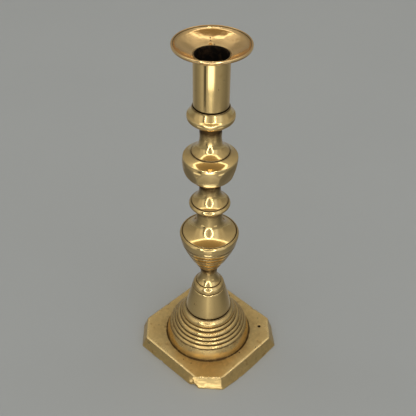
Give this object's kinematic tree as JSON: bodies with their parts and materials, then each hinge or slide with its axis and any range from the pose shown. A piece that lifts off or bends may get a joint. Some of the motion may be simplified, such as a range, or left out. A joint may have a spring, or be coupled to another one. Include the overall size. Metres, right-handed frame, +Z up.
{
  "type": "push-up candlestick",
  "caption": "Turned brass candlestick with a square canted foot, ringed dome, faceted knop, drip pan and a push rod that ejects the candle stub.",
  "frame": {"origin": "centre of the foot on the surface that it stands on", "axes": "+Z up along the stem; +X and +Y square to the sides of the foot"},
  "size_m": [0.094, 0.0896, 0.26],
  "materials": {
    "brass_base": "worn polish with casting pits",
    "brass_stem": "polished, with lathe lines",
    "brass_socket": "polished",
    "brass_pan": "polished, with fine scratches",
    "brass_dull": "dull, hidden",
    "steel_rod": "plain drawn rod"
  },
  "bodies": {
    "candlestick": {"base_casting": "brass_base", "stem_foot": "brass_stem", "stem_vase": "brass_stem", "lower_knop": "brass_stem", "faceted_knop": "brass_stem", "top_knop": "brass_stem", "candle_socket": "brass_socket", "drip_pan": "brass_pan"},
    "ejector": {"ejector_disc": "brass_dull", "ejector_rod": "steel_rod", "ejector_button": "brass_dull"}
  },
  "joints": [
    {"name": "ejector_slide", "type": "slide", "parent": "candlestick", "child": "ejector", "axis": [0, 0, 1], "range_m": [0, 0.021]}
  ]
}
